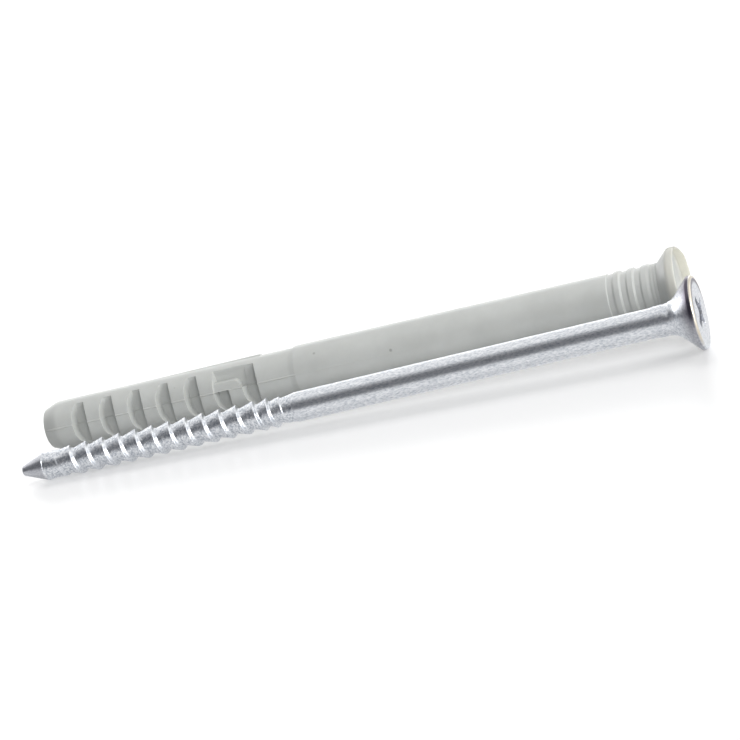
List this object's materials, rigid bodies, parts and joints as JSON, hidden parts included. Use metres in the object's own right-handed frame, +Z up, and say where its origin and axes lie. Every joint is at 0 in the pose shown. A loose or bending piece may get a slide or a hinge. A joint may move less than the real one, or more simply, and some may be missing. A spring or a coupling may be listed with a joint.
{
  "type": "hammer fixing plug",
  "caption": "Hammer fixing: moulded expansion sleeve with tooth pockets, fins, rings and a notched countersunk collar, and its zinc plated nail screw lying beside it.",
  "frame": {"origin": "bottom centre of the box around both pieces, on the plane they lie on", "axes": "+X runs from the tips to the heads, +Z is up, +Y goes from the nail screw to the sleeve"},
  "size_m": [0.1052, 0.0232, 0.0116],
  "materials": {
    "moulded_polyamide": "light grey injection moulded polyamide, satin skin",
    "bright_zinc_plated_steel": "cold headed and rolled steel, bright blue zinc plated"
  },
  "bodies": {
    "root": {"plug_sleeve": "moulded_polyamide", "nail_screw": "bright_zinc_plated_steel"}
  },
  "joints": []
}
